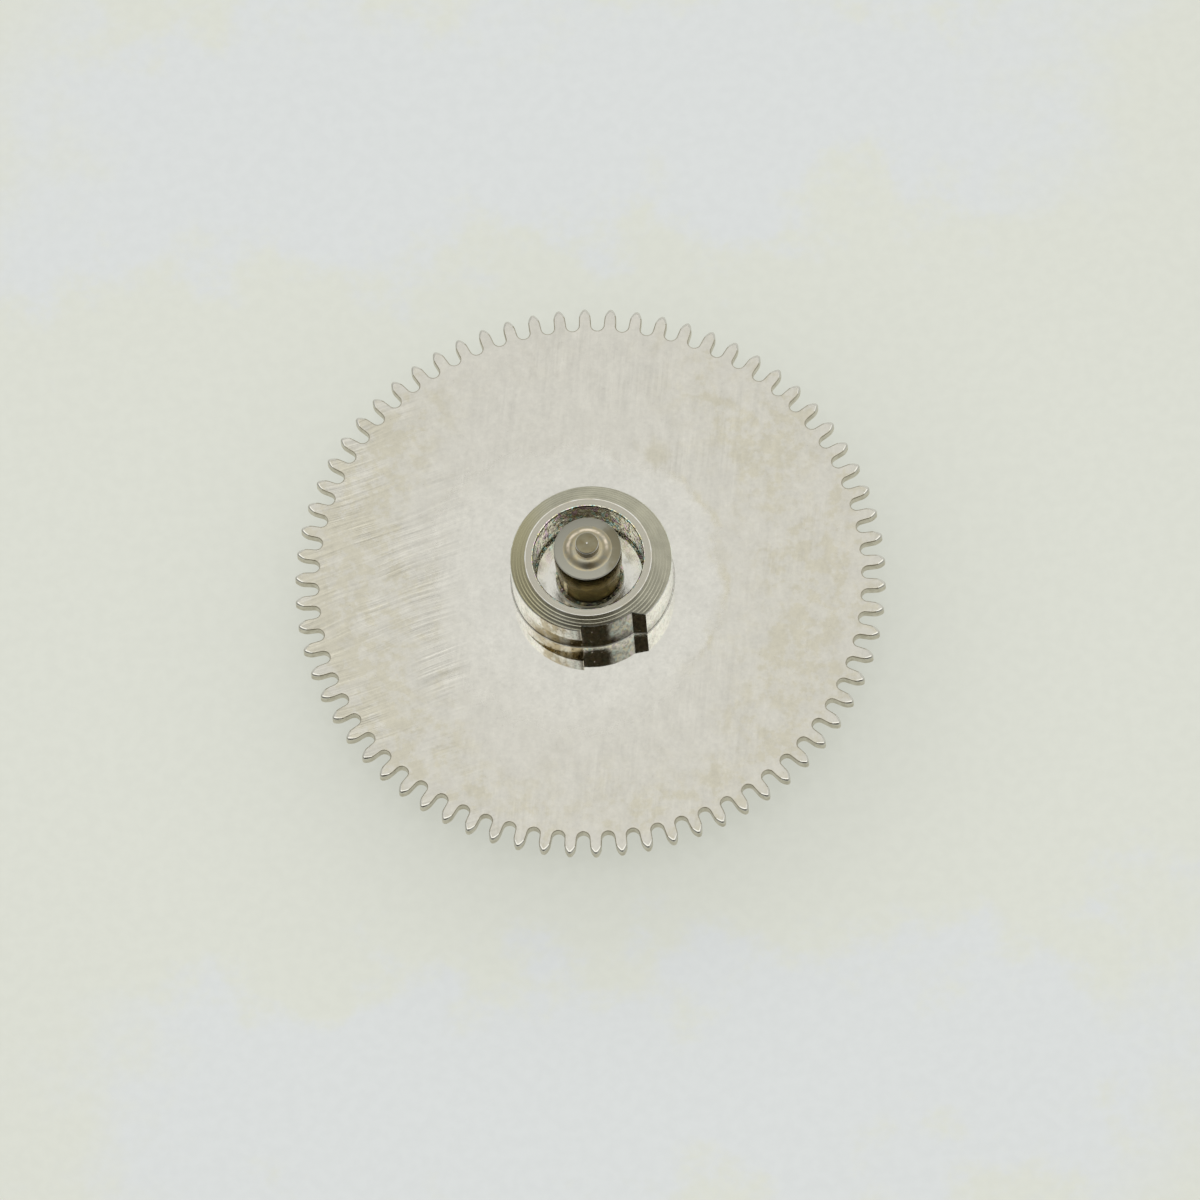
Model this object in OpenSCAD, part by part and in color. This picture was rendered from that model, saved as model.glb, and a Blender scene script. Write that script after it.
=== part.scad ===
// Barrel arbor with ratchet wheel, for a watch whose barrel hangs from one side.
// Three turned or cut steel pieces, riveted into one unit: the toothed wheel, the hollow core that
// the mainspring hooks on, and the staff with a pivot at each end.
// The arbor's axis is Z. Z = 0 is the free end of the bridge-side pivot, and the core points up.

/* [Ratchet wheel] */
// Number of teeth
tooth_count = 70; // [60:2:80]
// Radius over the tooth tips
wheel_tip_r = 5.25; // [5:0.05:6]
// Thickness of the wheel
wheel_t = 0.2; // [0.14:0.01:0.3]
// Depth of a tooth space, from tip to root
tooth_depth = 0.42; // [0.36:0.01:0.46]
// Height of the rounded tooth head above its widest point
tooth_head_h = 0.184; // [0.16:0.004:0.2]
// Width of a tooth where its head begins
tooth_w = 0.206; // [0.18:0.002:0.25]
// Radius of the rounded tooth tip
tooth_tip_r = 0.055; // [0.03:0.005:0.06]
// Radius at the bottom of a tooth space
tooth_root_r = 0.115; // [0.09:0.005:0.12]
// Angle of the first tooth from the X axis, in degrees
tooth_phase = -1.1; // [-2.5:0.1:2.5]
// Radius of the wheel's centre hole
wheel_hole_r = 0.8; // [0.7:0.01:0.85]
// Depth and width of the countersink that the rivet fills
rivet_sink = 0.08; // [0.04:0.01:0.1]

/* [Arbor core] */
// Height of the core above the wheel
core_h = 1.07; // [1:0.01:1.3]
// Radius of the eccentric outer wall
core_r = 1.44; // [1.42:0.01:1.6]
// Offset of the outer wall from the axis
core_offset = 0.0586; // [0.04:0.0002:0.07]
// Direction of that offset, in degrees
core_offset_dir = 36.7; // [30:0.1:45]
// Radius of the bore round the staff
core_bore_r = 1; // [0.9:0.01:1.05]
// Bevel at the foot of the bore
core_bore_bevel = 0.04; // [0.02:0.01:0.08]
// Radius of the narrow flat rim on top
rim_r = 1.14; // [1.1:0.01:1.2]
// Step from the rim down to the sloping face
rim_step = 0.035; // [0.02:0.005:0.06]
// Slope of the turned face round the rim, in degrees
rim_slope = 33; // [25:1:38]
// Thickness of the web at the foot of the bore
web_t = 0.16; // [0.12:0.01:0.25]
// How far the rivet stands out under the wheel
rivet_proud = 0.05; // [0.02:0.01:0.08]

/* [Mainspring hook] */
// Angle at which the hook's tooth ends and the recess begins, in degrees
hook_angle = -100.5; // [-105:0.5:-95]
// How far the hook's tooth stands out from the recess
hook_rise = 0.08; // [0.05:0.005:0.1]
// Height of the hook's undercut above the wheel
hook_under_h = 0.466; // [0.4:0.002:0.6]
// Angle that the undercut covers, in degrees
under_sweep = 52; // [40:1:70]
// How much wider the undercut's round wall is than the recess
under_growth = 0.0225; // [0.015:0.0005:0.03]
// Offset of that wall from the axis, which makes the undercut fade out
under_offset = 0.114; // [0.1:0.001:0.12]
// Direction of that offset, in degrees
under_dir = 161.6; // [155:0.1:170]
// Radius of the recess that takes the spring's inner end
recess_r = 1.28; // [1.24:0.01:1.3]
// Angle at which the recess meets its straight end wall, in degrees
recess_end_angle = -57.9; // [-62:0.1:-54]
// Direction of the straight end wall, in degrees
recess_wall_dir = -5; // [-10:1:0]

/* [Staff] */
// Radius of the pivot on the bridge side
bridge_pivot_r = 0.38; // [0.3:0.01:0.4]
// Length of the pivot on the bridge side
bridge_pivot_len = 0.4; // [0.3:0.01:0.6]
// Radius of the stem pressed through the core
stem_r = 0.54; // [0.5:0.01:0.56]
// How far the foot that rests on the web stands out past the stem
foot_ledge = 0.065; // [0.055:0.005:0.09]
// Height of the foot's cylinder
foot_h = 0.08; // [0.04:0.01:0.12]
// Radius of the neck
neck_r = 0.55; // [0.52:0.01:0.57]
// Radius of the journal that the barrel turns on
journal_r = 0.6; // [0.58:0.01:0.65]
// Length of the journal
journal_len = 0.52; // [0.4:0.01:0.6]
// Height of the journal's face above the wheel
journal_top = 1.465; // [1.3:0.005:1.6]
// Radius of the boss on the journal's face
boss_r = 0.4; // [0.34:0.01:0.45]
// Radius of the boss at its top
boss_top_r = 0.25; // [0.23:0.01:0.3]
// Height of the boss
boss_h = 0.075; // [0.05:0.005:0.12]
// Radius of the pivot on the barrel side
barrel_pivot_r = 0.21; // [0.16:0.005:0.22]
// Length of the pivot on the barrel side
barrel_pivot_len = 0.18; // [0.12:0.01:0.3]
// Bevel on the staff's edges
staff_bevel = 0.025; // [0.01:0.005:0.04]

/* [Hidden] */
round_fn = 96;
steel_wheel = [0.80, 0.79, 0.74];
steel_core = [0.70, 0.68, 0.63];
steel_staff = [0.62, 0.61, 0.58];

foot_r = stem_r + foot_ledge;

// Heights from the free end of the bridge-side pivot
wheel_bottom_z = bridge_pivot_len + rivet_proud;
wheel_top_z = wheel_bottom_z + wheel_t;
web_top_z = wheel_top_z + web_t;
core_top_z = wheel_top_z + core_h;
journal_top_z = wheel_top_z + journal_top;
journal_bottom_z = journal_top_z - journal_len;
neck_bottom_z = web_top_z + foot_h + (foot_r - neck_r);
boss_top_z = journal_top_z + boss_h;
staff_top_z = boss_top_z + barrel_pivot_len;

// Tooth outline: a full round at the root, a short flank, and a pointed arch with a round tip
tooth_pitch = 360 / tooth_count;
root_r = wheel_tip_r - tooth_depth;
head_r = wheel_tip_r - tooth_head_h;
half_w = tooth_w / 2;
tip_rise = tooth_head_h - tooth_tip_r;
arch_r = (pow(half_w, 2) + pow(tip_rise, 2) - pow(tooth_tip_r, 2)) / (2 * (half_w - tooth_tip_r));
arch_end = atan2(tip_rise, arch_r - half_w);
arc_steps = 3;

// Radius past every point of the core's outer wall, and a length past the whole core
core_max_r = core_r + core_offset + rim_step;
reach = 2 * core_r;
// Outer wall of the hook's tooth, which leaves the main wall at 180 degrees without a step
hook_r = core_r + core_offset * cos(180 - core_offset_dir);
hook_lift = hook_r - recess_r - hook_rise;

function polar(r, a) = [r * cos(a), r * sin(a)];
function turned(p, a) = [p[0] * cos(a) - p[1] * sin(a), p[0] * sin(a) + p[1] * cos(a)];
function flipped(p) = [p[0], -p[1]];

// One half of a tooth from the root to just before the tip, with the tooth's middle along X
function root_point(t) =
    turned([root_r + tooth_root_r * (1 - cos(t)), tooth_root_r * sin(t)], -tooth_pitch / 2);
function arch_point(t) = [head_r + arch_r * sin(t), half_w - arch_r + arch_r * cos(t)];
function tip_point(t) = [head_r + tip_rise + tooth_tip_r * sin(t), tooth_tip_r * cos(t)];
rising_half = concat(
    [for (i = [0 : arc_steps]) root_point(90 * i / arc_steps)],
    [for (i = [0 : arc_steps]) flipped(arch_point(arch_end * i / arc_steps))],
    [flipped(tip_point((arch_end + 90) / 2)), [wheel_tip_r, 0]]
);
falling_half = [for (i = [len(rising_half) - 2 : -1 : 1]) flipped(rising_half[i])];
tooth_outline = concat(rising_half, falling_half);

module wheel_outline() {
    polygon([
        for (n = [0 : tooth_count - 1], p = tooth_outline) turned(p, tooth_phase + n * tooth_pitch)
    ]);
}

module ratchet_wheel() {
    color(steel_wheel) difference() {
        translate([0, 0, wheel_bottom_z]) linear_extrude(wheel_t) wheel_outline();
        cylinder(r = wheel_hole_r, h = core_top_z, $fn = round_fn);
        translate([0, 0, wheel_bottom_z - rivet_sink])
            cylinder(
                r1 = wheel_hole_r + 2 * rivet_sink, r2 = wheel_hole_r, h = 2 * rivet_sink,
                $fn = round_fn
            );
    }
}

// Outline of the core: an eccentric circle, drawn in towards the hook's tooth at the lower left
module core_outline() {
    difference() {
        translate(polar(core_offset, core_offset_dir)) circle(r = core_r, $fn = round_fn);
        difference() {
            translate([-reach, -reach]) square(reach);
            translate([0, hook_lift]) circle(r = hook_r, $fn = round_fn);
        }
    }
}

// Ground that the recess takes away, from the hook's end face round to the straight end wall
module recess_cut() {
    wall_start = polar(recess_r, recess_end_angle);
    difference() {
        polygon([
            [0, 0],
            polar(reach, hook_angle),
            polar(2 * reach, (hook_angle + recess_end_angle) / 2),
            wall_start + polar(reach, recess_wall_dir),
            wall_start
        ]);
        circle(r = recess_r, $fn = round_fn);
    }
}

// Ground that the undercut takes away below the hook's tooth
module under_cut() {
    difference() {
        polygon([[0, 0], polar(reach, hook_angle - under_sweep), polar(reach, hook_angle)]);
        translate(polar(under_offset, under_dir)) circle(r = recess_r + under_growth, $fn = round_fn);
    }
}

// The turned top: flat rim, small step, and the sloping face that runs out past the outer wall
module core_top_profile() {
    slope_top_z = core_top_z - rim_step;
    polygon([
        [0, wheel_top_z],
        [core_max_r, wheel_top_z],
        [core_max_r, slope_top_z - (core_max_r - rim_r) * tan(rim_slope)],
        [rim_r, slope_top_z],
        [rim_r, core_top_z],
        [0, core_top_z]
    ]);
}

module core_body() {
    intersection() {
        translate([0, 0, wheel_top_z]) linear_extrude(core_h) difference() {
            core_outline();
            recess_cut();
        }
        rotate_extrude($fn = round_fn) core_top_profile();
    }
}

module arbor_core() {
    color(steel_core) difference() {
        union() {
            core_body();
            translate([0, 0, wheel_bottom_z - rivet_proud])
                cylinder(r = wheel_hole_r, h = wheel_t + rivet_proud + web_t / 2, $fn = round_fn);
            translate([0, 0, wheel_bottom_z])
                cylinder(r1 = wheel_hole_r + rivet_sink, r2 = wheel_hole_r, h = rivet_sink, $fn = round_fn);
        }
        translate([0, 0, web_top_z + core_bore_bevel])
            cylinder(r = core_bore_r, h = core_h, $fn = round_fn);
        translate([0, 0, web_top_z])
            cylinder(
                r1 = core_bore_r - core_bore_bevel, r2 = core_bore_r, h = core_bore_bevel,
                $fn = round_fn
            );
        cylinder(r = stem_r, h = core_top_z, $fn = round_fn);
        translate([0, 0, wheel_top_z - wheel_t]) linear_extrude(wheel_t + hook_under_h) under_cut();
    }
}

module staff_profile() {
    polygon([
        [0, 0],
        [bridge_pivot_r - staff_bevel, 0],
        [bridge_pivot_r, staff_bevel],
        [bridge_pivot_r, bridge_pivot_len],
        [stem_r, bridge_pivot_len],
        [stem_r, web_top_z],
        [foot_r, web_top_z],
        [foot_r, web_top_z + foot_h],
        [neck_r, neck_bottom_z],
        [neck_r, journal_bottom_z],
        [journal_r - staff_bevel, journal_bottom_z],
        [journal_r, journal_bottom_z + staff_bevel],
        [journal_r, journal_top_z - staff_bevel],
        [journal_r - staff_bevel, journal_top_z],
        [boss_r, journal_top_z],
        [boss_top_r, boss_top_z],
        [barrel_pivot_r, boss_top_z],
        [barrel_pivot_r, staff_top_z - staff_bevel],
        [barrel_pivot_r - staff_bevel, staff_top_z],
        [0, staff_top_z]
    ]);
}

module arbor_staff() {
    color(steel_staff) rotate_extrude($fn = round_fn) staff_profile();
}

ratchet_wheel();
arbor_core();
arbor_staff();
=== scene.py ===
"""Looks for a watch's barrel arbor: a ratchet wheel, a hooked core and a turned staff, all of bare steel.

Lengths are in metres in the part's own frame. The arbor's axis is Z, and the camera looks from -Y.
"""

import enum
import math

import bmesh
import bpy
import numpy as np
from mathutils import Matrix, Vector


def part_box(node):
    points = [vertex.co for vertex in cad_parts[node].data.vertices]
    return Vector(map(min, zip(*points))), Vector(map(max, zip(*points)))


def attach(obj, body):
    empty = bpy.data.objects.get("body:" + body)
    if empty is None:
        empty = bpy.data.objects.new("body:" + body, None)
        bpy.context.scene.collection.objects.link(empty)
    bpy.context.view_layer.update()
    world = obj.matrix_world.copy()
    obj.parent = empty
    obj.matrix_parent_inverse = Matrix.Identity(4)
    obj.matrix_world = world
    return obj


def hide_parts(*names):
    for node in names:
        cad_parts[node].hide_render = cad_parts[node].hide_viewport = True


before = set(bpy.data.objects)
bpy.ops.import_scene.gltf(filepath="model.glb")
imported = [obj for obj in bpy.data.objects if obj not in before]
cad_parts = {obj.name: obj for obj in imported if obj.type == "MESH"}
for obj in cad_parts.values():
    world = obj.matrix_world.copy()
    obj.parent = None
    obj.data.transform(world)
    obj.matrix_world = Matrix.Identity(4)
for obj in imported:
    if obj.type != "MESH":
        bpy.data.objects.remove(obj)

bl_info = {
    "name": "Barrel Arbor with Ratchet Wheel",
    "version": (1, 0, 0),
    "blender": (4, 5, 0),
    "location": "View3D > Sidebar > Arbor",
    "description": "Builds a watch's barrel arbor in brushed, turned and polished steel",
    "category": "Object",
}

MM = 0.001
TURN = 2 * math.pi
# Points of a round of radius 1, as their distances from the side it starts on and the side it ends on
QUARTER_ROUND = [(1 - math.cos(turn), 1 - math.sin(turn)) for turn in np.linspace(0, TURN / 4, 5)]
# Points nearer than this are one point
MERGE_DISTANCE = 1e-5 * MM
# Edges bent by more than this are drawn sharp
SHARP_ANGLE = math.radians(28)
# Nearest and farthest place that the camera sees, and the width of its sensor in millimetres
CLIP_START, CLIP_END = 10 * MM, 10
SENSOR_WIDTH = 36

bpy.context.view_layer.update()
WHEEL_LOW, WHEEL_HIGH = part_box("ratchet_wheel")
CORE_LOW, CORE_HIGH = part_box("arbor_core")
STAFF_LOW, STAFF_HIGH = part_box("arbor_staff")
TEETH_OVER = max(WHEEL_HIGH.x, WHEEL_HIGH.y, -WHEEL_LOW.x, -WHEEL_LOW.y)

# The finishes of each piece, numbered as its mesh holds their materials
WheelFinish = enum.IntEnum("WheelFinish", "FACE WORN_EDGE FLANK DULL_EDGE", start=0)
CoreFinish = enum.IntEnum("CoreFinish", "BORE RIM SLOPE WALL RECESS WEB UNDERCUT EDGE", start=0)
StaffFinish = enum.IntEnum("StaffFinish", "SIDE FACE BOSS PIVOT_END EDGE PIVOT_SIDE", start=0)


def number_property(name, description, default, **settings):
    """A number that a user may change."""
    return bpy.props.FloatProperty(name=name, description=description, default=default, **settings)


def length_property(name, description, millimetres, low=0):
    """A length, given here in millimetres and kept in metres."""
    return number_property(name, description, millimetres * MM, min=low, precision=6, unit="LENGTH")


def angle_property(name, description, degrees):
    """An angle, given here in degrees."""
    return number_property(name, description, math.radians(degrees), subtype="ANGLE")


def share_property(name, description, default):
    """A share from 0 to 1."""
    return number_property(name, description, default, min=0, max=1, subtype="FACTOR")


def colour_property(name, description, default):
    """A colour of steel or of the stage, in linear light."""
    return bpy.props.FloatVectorProperty(
        name=name, description=description, default=default, subtype="COLOR", min=0, max=1
    )


class WheelSettings(bpy.types.PropertyGroup):
    """Sizes and finish of the ratchet wheel."""

    tooth_count: bpy.props.IntProperty(name="Teeth", description="Number of teeth", default=70, min=12)
    tip_radius: length_property("Tip radius", "Radius over the tips of the teeth", TEETH_OVER / MM)
    tooth_depth: length_property("Tooth depth", "Depth of a gap between two teeth", 0.42)
    head_height: length_property("Head height", "Height of a tooth's rounded head", 0.184)
    tooth_width: length_property("Tooth width", "Width of a tooth where its head begins", 0.206)
    tip_round: length_property("Tip round", "Radius of the round at the tip", 0.055)
    root_round: length_property("Root round", "Radius at the bottom of a gap", 0.115)
    first_tooth: angle_property("First tooth", "Angle of the first tooth from the X axis", -1.1)
    hole_radius: length_property("Hole radius", "Radius of the centre hole", 0.8)
    rivet_sink: length_property("Rivet sink", "Depth and width of the countersink", 0.08)
    tip_bevel: length_property("Tip bevel", "Width of the worn edge over a tip", 0.045)
    edge_bevel: length_property("Edge bevel", "Width of the worn edge in the gaps", 0.018)
    worn_depth: length_property("Worn depth", "How far a tooth wears down from its tip", 0.2)
    worn_share: share_property("Worn share", "Wear from which an edge counts as polished", 0.3)
    smooth_radius: length_property("Smooth radius", "Radius of the smoother ring round the core", 2.4)
    colour: colour_property("Steel", "Colour of the brushed face", (0.58, 0.565, 0.51))
    smooth_colour: colour_property("Smooth steel", "Colour of the smoother ring", (0.563, 0.552, 0.505))
    stain_colour: colour_property("Stain", "Colour of the old oil stains", (0.47, 0.427, 0.275))
    worn_colour: colour_property("Worn edge", "Colour of the polished edges", (0.68, 0.665, 0.6))
    dull_colour: colour_property("Dull edge", "Colour of the edges in the gaps", (0.52, 0.49, 0.4))
    dull_patch_colour: colour_property("Dull edge, patches", "Colour of their patches", (0.4, 0.37, 0.29))
    flank_colour: colour_property("Flank", "Colour of the walls of the teeth", (0.7, 0.66, 0.56))
    flank_patch_colour: colour_property("Flank, patches", "Colour of their patches", (0.54, 0.5, 0.4))
    brushed_roughness: share_property("Brushed roughness", "Roughness of the brushed face", 0.3)
    smooth_roughness: share_property("Smooth roughness", "Roughness of the smoother ring", 0.035)


class CoreSettings(bpy.types.PropertyGroup):
    """Sizes and finish of the hooked core."""

    wall_radius: length_property("Wall radius", "Radius of the eccentric outer wall", 1.44)
    wall_offset: length_property("Wall offset", "Offset of that wall from the axis", 0.0586)
    wall_direction: angle_property("Wall direction", "Direction of that offset", 36.7)
    bore_radius: length_property("Bore radius", "Radius of the bore round the staff", 0.98)
    bore_bevel: length_property("Bore bevel", "Bevel at the foot of the bore", 0.04)
    rim_radius: length_property("Rim radius", "Radius of the narrow flat rim", 1.14)
    rim_step: length_property("Rim step", "Step from the rim down to the sloping face", 0.035)
    rim_slope: angle_property("Rim slope", "Slope of the turned face round the rim", 33)
    web: length_property("Web", "Thickness of the web at the foot of the bore", 0.16)
    hook_angle: angle_property("Hook angle", "Angle at which the hook's tooth ends", -100.5)
    hook_rise: length_property("Hook rise", "How far the hook's tooth stands out", 0.08)
    under_height: length_property("Undercut height", "Height of the undercut over the wheel", 0.466)
    under_sweep: angle_property("Undercut sweep", "Angle that the undercut covers", 52)
    under_growth: length_property("Undercut growth", "Radius of the undercut past the recess", 0.0225)
    under_offset: length_property("Undercut offset", "Offset of the undercut from the axis", 0.114)
    under_direction: angle_property("Undercut direction", "Direction of that offset", 161.6)
    recess_radius: length_property("Recess radius", "Radius of the mainspring's recess", 1.28)
    recess_end: angle_property("Recess end", "Angle at which the recess meets its end wall", -57.9)
    end_wall: angle_property("End wall", "Direction of the straight end wall", -5)
    edge_bevel: length_property("Edge bevel", "Width of the bevels on the edges", 0.012)
    lip: length_property("Lip", "Width of the polished lip inside the rim", 0.025)
    fillet: length_property("Fillet", "Radius of the hollow round at the wall's foot", 0.022)
    groove_pitch: length_property("Groove pitch", "Distance from groove to groove", 0.052)
    groove_tilt: angle_property("Groove tilt", "Steepest tilt of a groove's side", 16)
    fine_pitch: share_property("Fine pitch", "Pitch of the finer grooves, as a share of the others'", 0.41)
    fine_tilt: share_property("Fine tilt", "Tilt of the finer grooves, as a share of the others'", 0.45)
    colour: colour_property("Steel", "Colour of the sloping face", (0.545, 0.525, 0.41))
    # The sloping face's colour at the left, darker and yellower: painted shade.
    left_shade_colour: colour_property("Steel, left", "Colour of that face at the left", (0.49, 0.455, 0.29))
    rim_colour: colour_property("Rim", "Colour of the flat rim", (0.415, 0.395, 0.33))
    edge_colour: colour_property("Edge", "Colour of the rim's bright edge", (0.78, 0.77, 0.72))
    bore_colour: colour_property("Bore", "Colour of the bore's wall", (1.0, 0.93, 0.74))
    wall_colour: colour_property("Wall", "Colour of the outer wall", (0.95, 0.935, 0.865))
    recess_colour: colour_property("Recess", "Colour of the recess's wall", (0.52, 0.51, 0.44))
    grime_colour: colour_property("Grime", "Colour of the grime under the hook", (0.42, 0.33, 0.16))
    web_colour: colour_property("Web", "Colour of the web", (0.6, 0.59, 0.54))
    web_patch_colour: colour_property("Web, patches", "Colour of its patches", (0.4, 0.39, 0.34))


class StaffSettings(bpy.types.PropertyGroup):
    """Sizes and finish of the staff."""

    bridge_pivot_radius: length_property("Bridge pivot", "Radius of the bridge-side pivot", 0.38)
    bridge_pivot_length: length_property("Bridge pivot length", "Length of that pivot", 0.4)
    stem_radius: length_property("Stem radius", "Radius of the stem in the core", 0.54)
    foot_radius: length_property("Foot radius", "Radius of the foot on the web", 0.605)
    foot_height: length_property("Foot height", "Height of the foot's cylinder", 0.08)
    neck_radius: length_property("Neck radius", "Radius of the neck", 0.55)
    journal_radius: length_property("Journal radius", "Radius of the wide journal", 0.6)
    journal_length: length_property("Journal length", "Length of the journal", 0.52)
    boss_radius: length_property("Boss radius", "Radius of the boss on the journal's face", 0.43)
    boss_top_radius: length_property("Boss top radius", "Radius of the boss at its top", 0.25)
    boss_height: length_property("Boss height", "Height of the boss", 0.075)
    pivot_radius: length_property("Pivot radius", "Radius of the barrel-side pivot", 0.21)
    pivot_length: length_property("Pivot length", "Length of that pivot", 0.18)
    edge_bevel: length_property("Edge bevel", "Bevel on the turned edges", 0.025)
    centre_mark: length_property("Centre mark", "Radius of the centre mark in the pivot's end", 0.012)
    # The neck's dark colour is partly oil and partly painted shade.
    neck_oil_and_shade_colour: colour_property("Neck", "Colour of the oily neck", (0.075, 0.068, 0.05))
    neck_tint: colour_property("Neck tint", "Tint of its glancing reflections", (0.6, 0.54, 0.42))
    neck_patch_colour: colour_property("Neck, patches", "Colour of its patches", (0.18, 0.148, 0.085))
    # Colour of a painted reflection: the bright streak on the neck.
    painted_reflection_colour: colour_property("Streak", "Colour of its bright streak", (1.0, 0.97, 0.88))
    face_colour: colour_property("Face", "Colour of the journal's face", (0.3, 0.292, 0.243))
    # Darker, yellower colour towards the right of the journal's face.
    face_right_colour: colour_property("Face, stain", "Colour of its stain", (0.19, 0.172, 0.115))
    boss_colour: colour_property("Boss", "Colour of the boss", (0.435, 0.38, 0.25))
    boss_patch_colour: colour_property("Boss, patches", "Colour of its patches", (0.37, 0.35, 0.27))
    # Colour of the painted highlight on the back of the boss.
    boss_highlight_colour: colour_property("Boss, ring", "Colour of its bright ring", (0.98, 0.86, 0.68))
    end_colour: colour_property("Pivot's end", "Colour of the upper pivot's end", (0.23, 0.21, 0.14))
    edge_colour: colour_property("Edge", "Colour of the turned edges", (0.85, 0.84, 0.8))
    pivot_colour: colour_property("Pivot", "Colour of the pivots' sides", (0.58, 0.54, 0.46))


class StageSettings(bpy.types.PropertyGroup):
    """Camera, floor and light."""

    elevation: angle_property("Elevation", "Height of the camera over the horizon", 67.16)
    roll: angle_property("Roll", "Turn of the camera about its own line of sight", -5.19)
    distance: length_property("Distance", "Distance from the wheel to the camera", 800)
    pan_right: length_property("Pan right", "How far the camera stands to the right", 0.1729, low=-1)
    pan_up: length_property("Pan up", "How far the camera stands up", -0.3457, low=-1)
    lens: number_property("Lens", "Focal length", 1351.13, min=1, unit="CAMERA")
    floor_radius: length_property("Floor radius", "Radius of the pale floor", 400)
    floor_drop: length_property("Floor drop", "How far the floor lies below the arbor", 0.001)
    floor_colour: colour_property("Floor", "Colour of the floor", (0.9, 0.92, 0.825))
    floor_cool_colour: colour_property("Floor, cooler", "Colour of its cooler patches", (0.89, 0.92, 0.91))
    # The floor's glow is painted light that lifts the arbor's real shadow, for the lens and reflections.
    floor_glow: share_property("Floor glow", "Share of the floor's look that comes from inside it", 0.8)
    glow_strength: number_property("Glow", "Strength of the floor's glow", 0.812, min=0)
    # The painted shadow round the arbor: where, and how much, the glow is dimmed.
    shade_reach: length_property("Shade reach", "Radius of the dimmer floor round the arbor", 9.5)
    shade_depth: share_property("Shade depth", "How much less it glows there", 0.06)
    background: colour_property("Background", "Colour behind the floor", (0.716, 0.723, 0.665))
    side_light: number_property("Side light", "Light from the tent's sides", 0.5, min=0)
    top_light: number_property("Top light", "Light from the tent's top", 1.46, min=0)
    top_half_width: share_property("Top width", "Half the width of the bright top", 0.62)
    top_half_depth: share_property("Top depth", "Half the depth of the bright top", 0.42)
    top_x: number_property("Top X", "Shift of the bright top to the right", -0.04)
    top_y: number_property("Top Y", "Shift of the bright top to the back", 0.02)
    dark_elevation: angle_property("Dark patch", "Elevation of the dark patch under the lens", 47)
    dark_spread: angle_property("Dark spread", "Angle from the middle of that patch to its edge", 21)
    dark_blur: angle_property("Dark blur", "Half the width of its soft edge", 5)
    lens_spread: angle_property("Lens spread", "Angle from the middle of the dark lens to its edge", 9)
    lens_blur: angle_property("Lens blur", "Half the width of its soft edge", 2)
    dark_colour: colour_property("Dark colour", "Colour of the dark patch", (0.075, 0.062, 0.04))


SETTINGS = {
    "arbor_wheel": WheelSettings,
    "arbor_core": CoreSettings,
    "arbor_staff": StaffSettings,
    "arbor_stage": StageSettings,
}


def smooth_step(value, low, high):
    """0 below low, 1 above high, and 3t^2 - 2t^3 between them."""
    t = np.clip((value - low) / (high - low), 0, 1)
    return t * t * (3 - 2 * t)


def direction(angle):
    """Unit vectors in the wheel's plane at these angles from the X axis."""
    return np.stack([np.cos(angle), np.sin(angle)], axis=-1)


def turned(points, angle):
    """Points in the wheel's plane turned about the axis by one angle."""
    c, s = math.cos(angle), math.sin(angle)
    return points @ np.array([[c, s], [-s, c]])


def stack_rings(rings):
    """Joins rings of (points in the plane, height, finish) into a grid, with a ring in each column.

    A height or a finish is one for the whole ring or one for each of its points. The finish is that of the
    faces from this ring to the next.
    """
    rows = len(rings[0][0])
    plane = np.stack([ring[0] for ring in rings], axis=1)
    height = np.stack([np.broadcast_to(ring[1], rows) for ring in rings], axis=1)
    finish = np.stack([np.broadcast_to(ring[2], rows) for ring in rings], axis=1)
    return np.concatenate([plane, height[..., None]], axis=2), finish


def revolve(around, stations):
    """Turns stations of (radius, height, finish) about the axis into a grid with a row for each direction.

    A radius too is one for the whole ring or one for each direction in around.
    """
    return stack_rings([(around * np.reshape(radius, (-1, 1)), *rest) for radius, *rest in stations])


def grid_object(name, points, finishes, materials, ring=True):
    """A closed shell from a grid of points whose rows join up round the axis.

    Face (i, j) spans rows i and i + 1 and columns j and j + 1, counted round. In a ring the last column
    joins the first too, and otherwise both lie on the axis. Points that coincide are merged, so a column of
    equal points becomes a pole. finishes has each face's finish, and materials each finish's material.
    """
    rows, columns, _ = points.shape
    index = np.arange(rows * columns).reshape(rows, columns)
    below = np.roll(index, -1, axis=0)
    quads = np.stack([index, below, np.roll(below, -1, axis=1), np.roll(index, -1, axis=1)], axis=-1)
    if not ring:
        quads, finishes = quads[:, :-1], finishes[:, :-1]
    quads = quads.reshape(-1, 4)
    mesh = bpy.data.meshes.new(name)
    mesh.vertices.add(rows * columns)
    mesh.vertices.foreach_set("co", points.astype(np.float32).ravel())
    mesh.loops.add(quads.size)
    mesh.loops.foreach_set("vertex_index", quads.astype(np.int32).ravel())
    mesh.polygons.add(len(quads))
    mesh.polygons.foreach_set("loop_start", np.arange(0, quads.size, 4, dtype=np.int32))
    mesh.polygons.foreach_set("material_index", finishes.astype(np.int32).ravel())
    mesh.update(calc_edges=True)
    for finish in sorted(materials):
        mesh.materials.append(materials[finish])
    close_shell(mesh)
    piece = bpy.data.objects.new(name, mesh)
    bpy.context.scene.collection.objects.link(piece)
    return piece


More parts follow.
